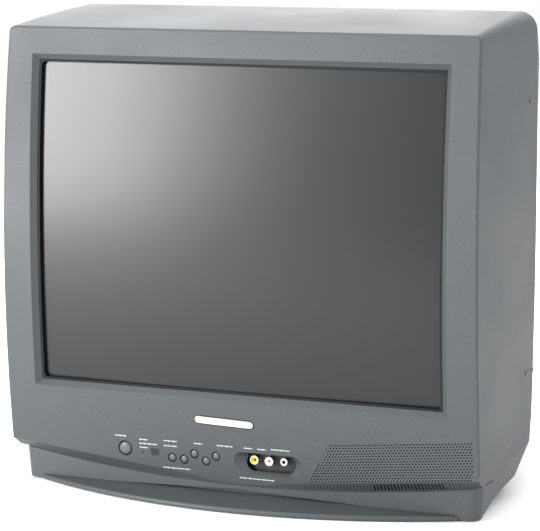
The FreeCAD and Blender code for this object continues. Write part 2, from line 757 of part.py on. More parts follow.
def wire_along(points, radius):
    """A round wire on a smooth curve through some points."""
    curve = Part.BSplineCurve()
    curve.interpolate([Vector(*point) for point in points])
    path = Part.Wire([curve.toShape()])
    tangent = curve.tangent(curve.FirstParameter)[0]
    profile = Part.Wire([Part.makeCircle(radius, Vector(*points[0]), tangent)])
    return path.makePipeShell([profile], True, True)


def grille_shape():
    """The flat perforated panel that fills the grille window flush with the face."""
    low, high = 28.0, 76.0
    slope = (face_depth(high) - face_depth(low)) / (high - low)
    thick, pitch, hole, rows = 2.2, 3.11, 0.75, 14
    outline = [Vector(x, 0, z) for x, z in GRILLE_CORNERS]
    wires = [Part.makePolygon(outline + outline[:1])]
    for row in range(rows):
        for column in range(-2, 54):
            x = 74.5 + pitch * column + (pitch / 2 if row % 2 else 0)
            z = 26.6 + row * pitch * math.sqrt(3) / 2 + 0.105 * (x - 74.5)
            if inside_grille(x, z, 1.05):
                wires.append(Part.Wire([Part.makeCircle(hole, Vector(x, 0, z), Vector(0, 1, 0))]))
    face = Part.Face(wires, "Part::FaceMakerBullseye")
    plate = face.extrude(Vector(0, thick, 0))
    # lean the plate back so that it follows the chord of the curved face
    lean = FreeCAD.Matrix()
    lean.A23 = slope
    lean.A24 = face_depth(low) - slope * low + 0.1
    return plate.transformGeometry(lean)


def inside_grille(x, z, margin):
    """Whether a hole centre keeps clear of the four edges of the grille."""
    (x1, z1), (x2, z2), (x3, z3), (x4, z4) = GRILLE_CORNERS
    left = x2 + (x1 - x2) * (z - z2) / (z1 - z2) + margin
    right = x3 + (x4 - x3) * (z - z3) / (z4 - z3) - margin
    low_edge = z2 + (z3 - z2) * (x - x2) / (x3 - x2) + margin
    top_edge = z1 + (z4 - z1) * (x - x1) / (x4 - x1) - margin
    return left < x < right and low_edge < z < top_edge


# ---------------------------------------------------------------- building the sub-parts

keep("front_cabinet", moulded("cabinet", front_cabinet_shape()))
keep("rear_cover", moulded("cover", rear_cover_shape()))
keep("speaker_grille", moulded("grille", grille_shape()))
keep("screen_mask", moulded("mask", screen_mask_shape()))

# picture tube
keep("tube_faceplate", moulded("faceplate", panel_shape()))
keep("tube_funnel", moulded("funnel", funnel_shape()))
behind = GLASS_INSET + mm("panel_thick")
keep("shadow_mask", moulded("aperture_sheet", sheet_behind_glass(behind + 9, 0.5, 206, 156, 14)))
keep("shadow_mask_frame", moulded("mask_frame", rect_ring(212, 161, 18, 3.0, -172, -148)))
keep("magnetic_shield", moulded("shield", shield_shape()))
keep("tension_band", moulded("band", rim_band_shape()))
neck = turned("neck", [
    ("Dims.neck_start + 0.2", "Dims.neck_radius"), ("Dims.neck_end", "Dims.neck_radius"),
    ("Dims.neck_end", 0), ("Dims.neck_end - 2", 0), ("Dims.neck_end - 2", "Dims.neck_radius - 1.6"),
    ("Dims.neck_start + 0.2", "Dims.neck_radius - 1.6")], AXIS)

gun_parts = []
for number, (start, length, radius) in enumerate(
        ((104, 14, 10.5), (122, 8, 7.5), (133, 14, 7.5), (150, 8, 7.5), (161, 3, 7.0), (167, 3, 7.0))):
    gun_parts.append(tube(f"electrode_{number}", radius, radius - 2.2, length,
                          (0, start, "Dims.tube_height")))
for number, x in enumerate((-8.2, 8.2)):
    gun_parts.append(rod(f"glass_bead_{number}", 1.6, 68, (x, 116, "Dims.tube_height")))
gun_parts.append(rod("cathode", 5.4, 6, (0, 162, "Dims.tube_height")))
keep("electron_gun", joined("gun", gun_parts))

base_parts = [rod("base_disc", 13.4, 4, (0, "Dims.neck_end + 0.1", "Dims.tube_height"))]
socket_holes = []
for number in range(10):
    angle = math.radians(36 * number + 18)
    x, z = 7.6 * math.cos(angle), 7.6 * math.sin(angle)
    base_parts.append(rod(f"pin_{number}", 0.5, 10, (x, "Dims.neck_end + 2", f"Dims.tube_height + {z:.3f}")))
    socket_holes.append(rod(f"socket_hole_{number}", 0.8, 16,
                            (x, "Dims.neck_end + 3", f"Dims.tube_height + {z:.3f}")))
keep("tube_neck", grouped("neck_and_base", [neck, joined("base_and_pins", base_parts)]))
socket = rod("socket_round", 17, 11, (0, "Dims.neck_end + 4.5", "Dims.tube_height"))
keep("tube_socket", cut_from("socket", socket, joined("socket_holes", socket_holes)))

# screws and washers that hold the tube
tube_screws = []
for side_x in (1, -1):
    for side_z in (1, -1):
        spot = f"Dims.tube_height + {side_z} * Dims.lug_z"
        x = f"{side_x} * Dims.lug_x"
        tag = f"{'right' if side_x > 0 else 'left'}_{'top' if side_z > 0 else 'low'}"
        head = rod("tube_screw_head_" + tag, 5.0, 4.0, (x, "Dims.lug_depth + 3.4", spot))
        shaft = rod("tube_screw_shaft_" + tag, 2.5, 16.0, (x, "Dims.lug_depth - 12", spot))
        washer = rod("tube_washer_" + tag, 6.4, 1.4, (x, "Dims.lug_depth + 2.05", spot))
        tube_screws.append(joined("tube_screw_" + tag, [head, shaft, washer]))
keep("tube_screws", grouped("four_tube_screws", tube_screws))

# deflection yoke, its windings and core
keep("line_coils", turned("line_windings", [
    (42, 54), (72, 32.5), (98, 18.5), (98, 22.8), (72, 37.5), (42, 61)], AXIS))
keep("yoke_housing", turned("yoke_former", [
    (38, 63.5), (72, 38.5), (99, 24), (99, 15.4), (116, 15.4), (116, 18.2), (102, 18.2), (102, 26.5),
    (72, 41), (41, 66.5), (41, 80), (38, 80)], AXIS))
core_outline = [(52, 62), (72, 45.2), (88, 37), (88, 46), (72, 55), (52, 73)]
keep("ferrite_core", turned("yoke_core", core_outline, AXIS))
coil_outline = [(49, 62), (72, 42.6), (90.5, 34.6), (90.5, 49), (72, 58), (49, 76)]
core_room = [(51.6, 61.6), (72, 44.7), (88.4, 36.5), (88.4, 46.6), (72, 55.5), (51.6, 73.4)]
field_coils = []
for name, lean in (("field_coil_top", 0), ("field_coil_low", 180)):
    wedge = turned(name, coil_outline, AXIS, 130.0)
    wedge.Placement.Rotation = Rotation(Vector(0, 1, 0), lean)
    room = turned(name + "_room", core_room, AXIS)
    field_coils.append(cut_from(name + "_hollow", wedge, room))
keep("field_coils", grouped("two_field_coils", field_coils))
clamp_ring = tube("clamp_ring", 21.5, 18.5, 6, (0, 106, "Dims.tube_height"))
clamp_ears = block("clamp_ears", (7, 6, 8), (-3.5, 106, "Dims.tube_height + 20"))
clamp_split = block("clamp_split", (1.2, 8, 14), (-0.6, 105, "Dims.tube_height + 16"))
clamp = cut_from("clamp_open", joined("clamp_solid", [clamp_ring, clamp_ears]), clamp_split)
clamp_screw = rod("clamp_screw", 1.5, 14, (-7, 109, "Dims.tube_height + 25"), "x")
keep("yoke_clamp", joined("clamp_with_screw", [clamp, clamp_screw]))

# neck magnets: a sleeve and three pairs of rings with tabs
sleeve = turned("sleeve", [
    (120, 15.2), (152, 15.2), (152, 20), (150, 20), (150, 17), (122, 17), (122, 22), (120, 22)], AXIS)
spacers = [tube(f"spacer_{number}", 22, 17.3, 2.8, (0, depth, "Dims.tube_height"))
           for number, depth in enumerate((128.8, 137.8, 146.8))]
keep("magnet_sleeve", grouped("sleeve_and_spacers", [sleeve] + spacers))
RING_PAIRS = [("purity_rings", 123.0, 20), ("four_pole_rings", 132.0, 65), ("six_pole_rings", 141.0, 110)]
for name, depth, lean in RING_PAIRS:
    pair = []
    for number, (shift, spread) in enumerate(((0.0, 0), (3.2, 38))):
        disc = rod(f"{name}_disc_{number}", 24.5, 2.2, (0, 0, 0))
        tab = block(f"{name}_tab_{number}", (5, 2.2, 10), (-2.5, 0, 22))
        bore = rod(f"{name}_bore_{number}", 17.3, 4, (0, -1, 0))
        ring = cut_from(f"{name}_ring_{number}", joined(f"{name}_blank_{number}", [disc, tab]), bore)
        place(ring, (0, depth + shift, "Dims.tube_height"), Rotation(Vector(0, 1, 0), lean - spread))
        pair.append(ring)
    keep(name, grouped(name + "_pair", pair))

# high voltage lead, degaussing coil, earth braid
cap_lean = Rotation(Vector(1, 0, 0), -54)
cap = doc.addObject("Part::Cone", "cap_skirt")
bind(cap, "Radius1", 21.0)
bind(cap, "Radius2", 8.0)
bind(cap, "Height", 8.0)
stem = rod("cap_stem", 4.5, 10.0, (0, 0, 5), "z")
anode_cap = joined("anode_boot", [cap, stem])
place(anode_cap, (0, -34, "Dims.tube_height + 125.5"), cap_lean)
keep("degaussing_coil", moulded("degauss", ring_of_wire(-108.0, 222, 176, 50, 5.0)))

# boards
keep("main_board", padded("chassis_board", "XY_Plane", [
    ("-Dims.board_half_width", "Dims.board_front"), ("Dims.board_half_width", "Dims.board_front"),
    ("Dims.board_half_width", "Dims.board_back"), ("-Dims.board_half_width", "Dims.board_back")],
    "Dims.board_thick", (0, 0, "Dims.board_height")))
rails = [block(f"rail_{number}", (6, 330, 12), (x, -156, 11.8)) for number, x in enumerate((-158, 152))]
rails += [block(f"cross_{number}", (316, 8, 8), (-158, y, 11.8)) for number, y in enumerate((-150, 0, 150))]
keep("chassis_frame", joined("frame", rails))
tube_board = padded("tube_board", "XZ_Plane", [(-42, -46), (42, -46), (42, 34), (-42, 34)],
                    "Dims.board_thick", (0, "Dims.neck_end + 15.6", "Dims.tube_height"), True)
driver_parts = []
for number, x in enumerate((-24, 0, 24)):
    driver_parts.append(block(f"driver_{number}", (10, 4.5, 15), (x - 5, 208, "Dims.tube_height - 42")))
driver_parts.append(block("driver_plate", (66, 1.5, 22), (-33, 212.5, "Dims.tube_height - 43")))
keep("neck_board", grouped("board_with_drivers", [tube_board, joined("drivers", driver_parts)]))
key_board = padded("key_board", "XZ_Plane", [(-132, -12), (-8, -12), (-8, 12), (-132, 12)],
                   "Dims.board_thick", (0, -176, 42), True)
keep("control_board", cut_from("key_board_drilled", key_board,
                               rod("stem_hole", 3.4, 6, ("Dims.power_x", -178, "Dims.power_z"))))

# power supply and line output parts that stand on the main board
TOP = "Dims.board_height + Dims.board_thick"
fly_body = block("fly_body", (46, 38, 60), (96, 70, TOP))
fly_shelf = block("fly_shelf", (46, 12, 26), (96, 108, f"{TOP} + 4"))
pot_holes = [rod(f"pot_hole_{n}", 3.2, 20, (119, 104, z)) for n, z in enumerate((38.0, 50.0))]
fly_whole = cut_from("fly_drilled", joined("fly_blank", [fly_body, fly_shelf]),
                     joined("pot_holes", pot_holes))
leg_outer = block("leg_outer", (64, 14, 44), (87, 82, f"{TOP} + 8"))
leg_room = block("leg_room", (46.4, 16, 26), (95.8, 81, f"{TOP} + 17"))
leg_cut = cut_from("leg_frame", leg_outer, leg_room)
fly_clear = block("fly_clear", (46.4, 38.4, 61), (95.8, 69.8, TOP))
keep("flyback_transformer", grouped("flyback", [fly_whole, cut_from("flyback_legs", leg_cut, fly_clear)]))
for name, z in (("screen_voltage_knob", 38.0), ("focus_knob", 50.0)):
    shaft = rod(name + "_shaft", 3.1, 14, (0, 0, 0))
    head = rod(name + "_head", 4.6, 4, (0, 12.6, 0))
    slot = block(name + "_slot", (7, 2, 1.2), (-3.5, 15.4, -0.6))
    knob = cut_from(name + "_knob", joined(name + "_blank", [shaft, head]), slot)
    place(knob, (119, 108, z))
    keep(name, knob)
fins = [block("sink_back", (60, 3, 46), (30, 120, TOP))]
fins += [block(f"fin_{n}", (1.6, 16, 46), (30 + 8.3 * n, 122.9, TOP)) for n in range(8)]
heatsink = joined("sink", fins)
line_switch = joined("line_switch", [
    block("line_body", (16, 4.8, 20), (52, 115, f"{TOP} + 14")),
    block("line_leg_0", (1.2, 0.8, 14.2), (54, 117, TOP)),
    block("line_leg_1", (1.2, 0.8, 14.2), (59.4, 117, TOP)),
    block("line_leg_2", (1.2, 0.8, 14.2), (64.8, 117, TOP))])
keep("line_output_heatsink", grouped("sink_and_switch", [heatsink, line_switch]))
keep("supply_transformer", joined("supply_wound", [
    block("supply_core", (40, 14, 34), (-60, 53, f"{TOP} + 3")),
    block("supply_bobbin", (30, 36, 28), (-55, 42, f"{TOP} + 6")),
    block("supply_feet", (36, 38, 4), (-58, 41, TOP))]))
keep("mains_filter_choke", joined("choke", [
    block("choke_core", (30, 12, 24), (-150, 105, f"{TOP} + 2")),
    block("choke_bobbin", (22, 22, 20), (-146, 100, f"{TOP} + 4")),
    block("choke_feet", (26, 22, 3), (-148, 100, TOP))]))
keep("fuse", joined("fuse_in_clips", [
    rod("fuse_glass", 2.5, 20, (-150, 76, f"{TOP} + 7"), "x"),
    block("clip_0", (5, 7, 8), (-149, 72.5, TOP)), block("clip_1", (5, 7, 8), (-136, 72.5, TOP))]))
small_cans = [rod("mains_can", 15, 42, (-110, 60, TOP), "z")]
for number, (x, y, radius, height) in enumerate((
        (-20, 30, 8, 24), (0, 34, 8, 24), (20, 20, 6, 18), (-80, 20, 6, 20), (60, 40, 6, 18), (80, 20, 5, 14),
        (-40, -20, 5, 14), (-10, -40, 5, 12), (30, -60, 4, 10), (60, -30, 4, 10), (140, 20, 6, 16),
        (-120, 0, 5, 14), (-100, -60, 4, 10), (100, -90, 5, 12))):
    small_cans.append(rod(f"can_{number}", radius, height, (x, y, TOP), "z"))
keep("electrolytic_capacitors", grouped("cans", small_cans))
chips = [block(f"chip_{n}", (length, 14, 4), (x, y, TOP)) for n, (x, y, length) in enumerate((
    (-60, -80, 46), (10, -90, 30), (60, -70, 20), (-110, -100, 20)))]
film = [block(f"film_{n}", (length, 7, 12), (x, y, TOP)) for n, (x, y, length) in enumerate((
    (-140, 40, 18), (-140, 20, 18), (20, 60, 22), (20, 75, 22), (70, 60, 14), (136, -20, 14), (-14, 70, 12)))]
keep("board_components", grouped("chips_and_films", chips + film))
keep("tuner", joined("tuner_can", [
    block("tuner_box", (46, 62, 18), (-83, 106, TOP)),
    tube("aerial_socket", 4.8, 1.4, 26, (AERIAL_X, 167.8, REAR_JACK_Z))]))
jack_body = block("rear_jack_body", (48, 22, 26), (-137, 150, TOP))
sleeves = [tube(f"rear_sleeve_{n}", 4.1, 1.7, 20, (x, 171.8, REAR_JACK_Z)) for n, x in enumerate(REAR_JACKS)]
keep("rear_jack_block", joined("rear_jacks", [jack_body] + sleeves))
cord_gland = joined("gland_blank", [
    rod("gland_body", 5.9, 22, (CORD_X, 177, REAR_JACK_Z)),
    rod("gland_flange", 8.5, 3, (CORD_X, "Dims.cover_low_back + 0.1", REAR_JACK_Z))])
keep("cord_gland", cut_from("gland", cord_gland, rod("gland_bore", 3.6, 30, (CORD_X, 174, REAR_JACK_Z))))

# front controls
def button_cap(name, radius, depth, base):
    """A round cap with a softly domed front."""
    return turned(name, [(0, 0), (0.15, radius * 0.5), (0.6, radius * 0.8), (1.2, radius - 0.25),
                         (2.0, radius), (depth, radius), (depth, 0)], base)


power_face = face_depth(mm("power_z"))
keep("power_button", joined("power_cap_and_stem", [
    button_cap("power_cap", mm("power_cap") / 2, 10, ("Dims.power_x", power_face - 1.2, "Dims.power_z")),
    rod("power_stem", 2.5, 18, ("Dims.power_x", power_face + 8, "Dims.power_z"))]))
for name, x, z in KEYS:
    keep(name, joined(name + "_cap_and_stem", [
        button_cap(name + "_cap", mm("key_cap") / 2, 7, (x, face_depth(z) - 0.6, z)),
        rod(name + "_stem", 1.6, -176 - 3.7 - (face_depth(z) + 6), (x, face_depth(z) + 6, z))]))
switches = [block(f"tact_{n}", (6, 2.6, 6), (x - 3, -178.6, z - 3)) for n, (_, x, z) in enumerate(KEYS)]
power_box = block("power_box", (16, 24, 16), ("Dims.power_x - 8", -174.3, "Dims.power_z - 8"))
power_hole = rod("power_hole", 2.6, 12, ("Dims.power_x", -175, "Dims.power_z"))
power_switch = cut_from("power_switch_body", power_box, power_hole)
keep("front_switches", grouped("all_switches", switches + [power_switch]))
lamp_face, sensor_face = face_depth(LED_AT[1]), face_depth(SENSOR_AT[1]) + 0.4
keep("standby_lamp", rod("lamp", 1.5, -176.1 - lamp_face, (LED_AT[0], lamp_face, LED_AT[1])))
keep("remote_sensor", block("sensor", (7.8, -176.1 - sensor_face, 6.8),
                            (SENSOR_AT[0] - 3.9, sensor_face, SENSOR_AT[1] - 3.4)))

# front jacks: a black carrier behind the recess with three sockets
carrier = moulded("jack_carrier_blank", upright_prism(-6, 72, 26, 54, -186.5, -178, 3))
sockets, yellow, white = [], [], []
holes = []
for name, x, z in JACKS:
    outer_radius = 4.3 if name != "earphone" else 3.6
    bore_radius = 3.5 if name != "earphone" else 1.8
    holes.append(rod(name + "_hole", outer_radius + 0.05, 30, (x, -200, z)))
    sockets.append(tube(name + "_ring", outer_radius, bore_radius, 14, (x, -194, z)))
keep("front_jack_carrier", cut_from("jack_carrier", carrier, joined("jack_holes", holes)))
keep("front_jack_rings", grouped("jack_rings", sockets))
for name, x, z in JACKS[:2]:
    keep(name + "_jack_insert", tube(name + "_insert", 3.4, 1.6, 12, (x, -193, z)))

# loudspeaker behind the grille


def oval(x, y, z, half_x, half_z):
    if half_x == half_z:
        return Part.Wire([Part.makeCircle(half_x, Vector(x, y, z), Vector(0, 1, 0))])
    curve = Part.Ellipse(Vector(x + half_x, y, z), Vector(x, y, z + half_z), Vector(x, y, z))
    return Part.Wire([curve.toShape()])


def oval_block(y, length, half_x, half_z):
    return Part.Face(oval(SPEAKER[0], y, SPEAKER[2], half_x, half_z)).extrude(Vector(0, length, 0))


def speaker_frame_shape():
    """Pressed steel basket with an oval flange and windows."""
    x, y, z = SPEAKER
    flange = upright_prism(x - 62, x + 62, z - 25, z + 25, y, y + 1.5, 6)
    flange = flange.cut(oval_block(y - 1, 4, 54, 21))
    outer = Part.makeLoft([oval(x, y + 1.2, z, 58.5, 24.4), oval(x, y + 20, z, 20, 17)], True, True)
    inner = Part.makeLoft([oval(x, y + 0.4, z, 56.5, 23.0), oval(x, y + 20.6, z, 18, 15.4)], True, True)
    basket = outer.cut(inner)
    basket = basket.cut(Part.makeBox(36, 10, 60, Vector(x - 50, y + 6, z - 30)))
    basket = basket.cut(Part.makeBox(36, 10, 60, Vector(x + 14, y + 6, z - 30)))
    plate = rod_y(x, y + 19.5, z, 21.5, 2).cut(rod_y(x, y + 19, z, 11, 4))
    holes = [rod_y(x + side_x * 57, y - 1, z + side_z * 20, 1.8, 4)
             for side_x in (1, -1) for side_z in (1, -1)]
    return flange.fuse(basket).fuse(plate).cut(holes)


def speaker_cone_shape():
    """Paper cone with its dust cap and voice coil."""
    x, y, z = SPEAKER
    outer = Part.makeLoft([oval(x, y + 1.6, z, 45, 17.5), oval(x, y + 15, z, 11, 10.5)], True, True)
    inner = Part.makeLoft([oval(x, y + 1.0, z, 45.1, 17.1), oval(x, y + 14.2, z, 9.6, 9.2)], True, True)
    coil = rod_y(x, y + 14.6, z, 9.5, 8).cut(rod_y(x, y + 14.4, z, 8.9, 9))
    return outer.cut(inner).fuse(coil)


basket = moulded("basket", speaker_frame_shape())
keep("speaker_cone", moulded("cone", speaker_cone_shape()))
keep("speaker_surround", moulded("surround", oval_block(SPEAKER[1] + 0.4, 0.8, 53.7, 20.7).cut(
    oval_block(SPEAKER[1] - 1, 4, 44, 16.8))))
magnet = tube("magnet_ring", 19, 11, 9, (SPEAKER[0], SPEAKER[1] + 21.6, SPEAKER[2]))
magnet_back = rod("magnet_back", 17, 3, (SPEAKER[0], SPEAKER[1] + 30.5, SPEAKER[2]))
magnet_pole = rod("magnet_pole", 8.5, 14, (SPEAKER[0], SPEAKER[1] + 17, SPEAKER[2]))
magnet_system = joined("magnet", [magnet, magnet_back, magnet_pole])
keep("speaker_frame", grouped("basket_and_magnet", [basket, magnet_system]))

# screws and pads
cover_screws = []
for number, (x, z) in enumerate(COVER_SCREWS):
    cover_screws.append(joined(f"cover_screw_{number}", [
        rod(f"cover_screw_head_{number}", 3.6, 2.4, (x, "Dims.seam_depth + 4.1", z)),
        rod(f"cover_screw_shaft_{number}", 1.6, 20, (x, "Dims.seam_depth - 14", z))]))
keep("rear_cover_screws", grouped("six_cover_screws", cover_screws))
pads = [rod(f"front_pad_{n}", 9, "Dims.ground_gap", (x, -120, 0), "z") for n, x in enumerate((-190, 190))]
pads += [rod(f"rear_pad_{n}", 9, 4.0, (x, 150, 0), "z") for n, x in enumerate((-130, 130))]
keep("foot_pads", grouped("four_pads", pads))

# wiring
keep("anode_lead", grouped("cap_and_wire", [anode_cap, moulded("anode_wire", wire_along([
    (0, -20.5, 398.5), (30, 10, 405), (110, 60, 370), (150, 90, 300), (140, 110, 200), (128, 96, 120),
    (124, 90, 86.2)], 2.2))]))
leads = [moulded("yoke_wires", wire_along([
    (60, 36, 214), (62, 30, 190), (40, 20, 120), (0, 0, 60), (-4, -4, 27.2)], 2.0))]
leads.append(moulded("video_wires", wire_along([
    (-30, 209.5, 213.5), (-36, 216, 180), (-60, 190, 110), (-40, 150, 60), (-20, 130, 27.4)], 2.2)))
leads.append(moulded("speaker_wires", wire_along([
    (152, -149.5, 56), (152, -142, 56), (140, -128, 48), (120, -110, 30), (118, -108, 26.9)], 1.2)))
keep("wiring", grouped("low_voltage_leads", leads))

# ---------------------------------------------------------------- checks and files

doc.recompute()
for obj in doc.Objects:
    if "Invalid" in obj.State or "Error" in obj.State:
        raise RuntimeError(f"{obj.Name} did not compute")
os.makedirs("parts", exist_ok=True)
for node, obj in pieces.items():
    if obj.Shape.isNull() or not obj.Shape.isValid():
        raise RuntimeError(f"{node} is not a valid solid")
for node, obj in pieces.items():
    obj.Shape.exportStep(f"parts/{node}.step")
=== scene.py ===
import math

import bpy
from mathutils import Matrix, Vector


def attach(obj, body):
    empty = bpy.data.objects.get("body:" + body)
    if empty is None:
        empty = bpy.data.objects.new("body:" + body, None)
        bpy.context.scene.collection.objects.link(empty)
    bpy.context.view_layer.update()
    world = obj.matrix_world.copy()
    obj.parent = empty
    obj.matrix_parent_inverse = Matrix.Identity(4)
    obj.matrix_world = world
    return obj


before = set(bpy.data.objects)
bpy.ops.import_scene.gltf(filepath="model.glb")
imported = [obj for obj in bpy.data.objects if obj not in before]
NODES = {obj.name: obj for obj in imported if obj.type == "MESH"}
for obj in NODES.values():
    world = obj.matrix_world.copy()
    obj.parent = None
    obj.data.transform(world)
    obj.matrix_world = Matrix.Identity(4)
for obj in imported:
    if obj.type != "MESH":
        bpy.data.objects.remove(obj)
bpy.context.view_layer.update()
MM = 0.001

# ---------------------------------------------------------------- camera

CAMERA_PLACE = (0.8999, -2.2413, 0.5606)
CAMERA_AZIMUTH, CAMERA_DIP = math.radians(22.967), math.radians(8.48)

camera_data = bpy.data.cameras.new("camera")
camera_data.sensor_width = 36.0
camera_data.lens = 160.5
camera_data.clip_end = 50.0
camera = bpy.data.objects.new("camera", camera_data)
bpy.context.scene.collection.objects.link(camera)
bpy.context.scene.camera = camera
toward_camera = Vector((math.sin(CAMERA_AZIMUTH) * math.cos(CAMERA_DIP),
                        -math.cos(CAMERA_AZIMUTH) * math.cos(CAMERA_DIP),
                        math.sin(CAMERA_DIP)))
camera.location = CAMERA_PLACE
camera.rotation_mode = "QUATERNION"
camera.rotation_quaternion = (-toward_camera).to_track_quat("-Z", "Y")


# ---------------------------------------------------------------- materials

class Graph:
    """A short way to write a node material."""

    def __init__(self, name):
        self.material = bpy.data.materials.new(name)
        self.material.use_nodes = True
        self.tree = self.material.node_tree
        self.shader = self.tree.nodes["Principled BSDF"]
        self.place = self.node("ShaderNodeTexCoord").outputs["Object"]

    def node(self, kind, **settings):
        node = self.tree.nodes.new(kind)
        for key, value in settings.items():
            setattr(node, key, value)
        return node

    def link(self, source, target):
        self.tree.links.new(source, target)

    def noise(self, scale, detail=2.0, rough=0.5, stretch=None):
        node = self.node("ShaderNodeTexNoise")
        node.inputs["Scale"].default_value = scale
        node.inputs["Detail"].default_value = detail
        node.inputs["Roughness"].default_value = rough
        place = self.place
        if stretch:
            mapping = self.node("ShaderNodeMapping")
            mapping.inputs["Scale"].default_value = stretch
            self.link(self.place, mapping.inputs["Vector"])
            place = mapping.outputs["Vector"]
        self.link(place, node.inputs["Vector"])
        return node.outputs["Fac"]

    def ramp(self, source, stops):
        """Turn a grey value into a colour between stops of (position, colour)."""
        node = self.node("ShaderNodeValToRGB")
        ramp = node.color_ramp
        while len(ramp.elements) < len(stops):
            ramp.elements.new(0.5)
        for element, (position, colour) in zip(ramp.elements, stops):
            element.position = position
            element.color = (*colour, 1.0)
        self.link(source, node.inputs["Fac"])
        return node.outputs["Color"]

    def spread(self, source, low, high):
        """Stretch the usual range of a noise value to run from low to high."""
        node = self.node("ShaderNodeMapRange")
        node.inputs["To Min"].default_value = low
        node.inputs["To Max"].default_value = high
        node.inputs["From Min"].default_value = 0.3
        node.inputs["From Max"].default_value = 0.7
        self.link(source, node.inputs["Value"])
        return node.outputs["Result"]

    def multiply(self, first, second):
        node = self.node("ShaderNodeMix", data_type="RGBA", blend_type="MULTIPLY")
        node.inputs["Factor"].default_value = 1.0
        self.link(first, node.inputs["A"])
        self.link(second, node.inputs["B"])
        return node.outputs["Result"]

    def bump(self, source, depth):
        node = self.node("ShaderNodeBump")
        node.inputs["Distance"].default_value = depth
        node.inputs["Strength"].default_value = 1.0
        self.link(source, node.inputs["Height"])
        self.link(node.outputs["Normal"], self.shader.inputs["Normal"])

    def set(self, **values):
        for key, value in values.items():
            self.shader.inputs[key.replace("_", " ")].default_value = value


def tint(colour, factor):
    """A colour made lighter or darker."""
    return tuple(min(1.0, part * factor) for part in colour)


def grained(name, colour, rough=0.5, grain=2600.0, speckle=0.10, depth=0.00005, metallic=0.0, gloss=0.5):
    """Moulded plastic, cast metal or paper: a mottled colour, uneven gloss and a fine grain."""
    g = Graph(name)
    fine = g.noise(grain, 1.0, 0.6)
    broad = g.noise(9.0, 3.0)
    dots = g.ramp(fine, [(0.30, tint(colour, 1 - speckle)), (0.5, colour), (0.72, tint(colour, 1 + speckle))])
    worn = g.ramp(broad, [(0.3, (0.96, 0.96, 0.96)), (0.7, (1.0, 1.0, 1.0))])
    g.link(g.multiply(dots, worn), g.shader.inputs["Base Color"])
    g.link(g.spread(broad, rough - 0.05, rough + 0.06), g.shader.inputs["Roughness"])
    g.bump(fine, depth)
    g.set(Metallic=metallic, Specular_IOR_Level=gloss)
    return g


def brushed(name, colour, rough=0.35):
    """Rolled or plated metal with fine drawn lines."""
    g = Graph(name)
    lines = g.noise(260.0, 2.0, 0.6, stretch=(1.0, 30.0, 1.0))
    shades = g.ramp(lines, [(0.3, tint(colour, 0.82)), (0.7, tint(colour, 1.1))])
    g.link(shades, g.shader.inputs["Base Color"])
    g.link(g.spread(lines, rough - 0.1, rough + 0.12), g.shader.inputs["Roughness"])
    g.bump(lines, 0.00003)
    g.set(Metallic=1.0)
    return g


def wound(name, colour):
    """Enamelled copper wire laid in windings, with painted shade darkening the grooves between the windings.
    """
    g = Graph(name)
    wave = g.node("ShaderNodeTexWave", wave_type="BANDS", bands_direction="Y")
    wave.inputs["Scale"].default_value = 420.0
    wave.inputs["Distortion"].default_value = 3.0
    g.link(g.place, wave.inputs["Vector"])
    # painted shade: the copper colour falls to about a third in bands along the grooves between the windings
    shaded_turns = g.ramp(wave.outputs["Fac"], [(0.1, tint(colour, 0.35)), (0.8, colour)])
    g.link(shaded_turns, g.shader.inputs["Base Color"])
    g.link(g.spread(g.noise(30.0), 0.3, 0.45), g.shader.inputs["Roughness"])
    g.bump(wave.outputs["Fac"], 0.0003)
    g.set(Metallic=0.6)
    return g


def clear_glass(name, colour):
    """Thin clear glass with faint smudges."""
    g = Graph(name)
    smudge = g.noise(14.0, 4.0)
    g.link(g.ramp(smudge, [(0.3, tint(colour, 0.96)), (0.7, colour)]), g.shader.inputs["Base Color"])
    g.link(g.spread(smudge, 0.03, 0.06), g.shader.inputs["Roughness"])
    g.set(Transmission_Weight=0.85, IOR=1.5)
    return g


def faceplate_glass(name):
    """Dark tinted glass with the grey phosphor layer behind it and a fine anti-glare haze."""
    g = Graph(name)
    layer = g.noise(5200.0, 1.0)
    cloud = g.noise(5.0, 2.0)
    base = (0.007, 0.0085, 0.0095)
    dots = g.ramp(layer, [(0.35, tint(base, 0.9)), (0.65, tint(base, 1.1))])
    haze = g.ramp(cloud, [(0.3, (0.94, 0.95, 0.95)), (0.7, (1.0, 1.0, 1.0))])
    g.link(g.multiply(dots, haze), g.shader.inputs["Base Color"])
    g.link(g.spread(cloud, 0.28, 0.30), g.shader.inputs["Roughness"])
    g.set(IOR=1.5, Specular_IOR_Level=0.45)
    return g


SHELL = (0.050, 0.0575, 0.0605)
BLACK = (0.014, 0.014, 0.015)
BOARD = (0.30, 0.18, 0.07)
STEEL = (0.55, 0.56, 0.57)


def paint(graph, *names):
    """Give pieces of the frame one material."""
    for name in names:
        slots = NODES[name].data.materials
        slots.clear()
        slots.append(graph.material)


paint(grained("shell_plastic", SHELL, rough=0.52, grain=900.0, speckle=0.16, depth=0.00004, gloss=0.5),
      "front_cabinet", "speaker_grille")
paint(grained("cover_plastic", (0.075, 0.083, 0.088), rough=0.55, grain=1500.0, speckle=0.12, depth=0.00018),
      "rear_cover")
paint(grained("mask_black", BLACK, rough=0.7, grain=1800.0, speckle=0.2, gloss=0.2), "screen_mask")
paint(faceplate_glass("faceplate_glass"), "tube_faceplate")
paint(grained("graphite_coat", (0.02, 0.02, 0.022), rough=0.7, grain=700.0, speckle=0.3), "tube_funnel")
paint(clear_glass("neck_glass", (0.86, 0.9, 0.88)), "tube_neck", "fuse")
paint(brushed("blackened_steel", (0.07, 0.07, 0.08), rough=0.5),
      "shadow_mask", "shadow_mask_frame", "magnetic_shield")
paint(brushed("zinc_plate", STEEL, rough=0.35), "tension_band", "tube_screws", "yoke_clamp", "tuner")
paint(brushed("gun_metal", (0.6, 0.6, 0.6), rough=0.25), "electron_gun")
paint(grained("socket_ivory", (0.55, 0.5, 0.38), rough=0.5), "tube_socket")
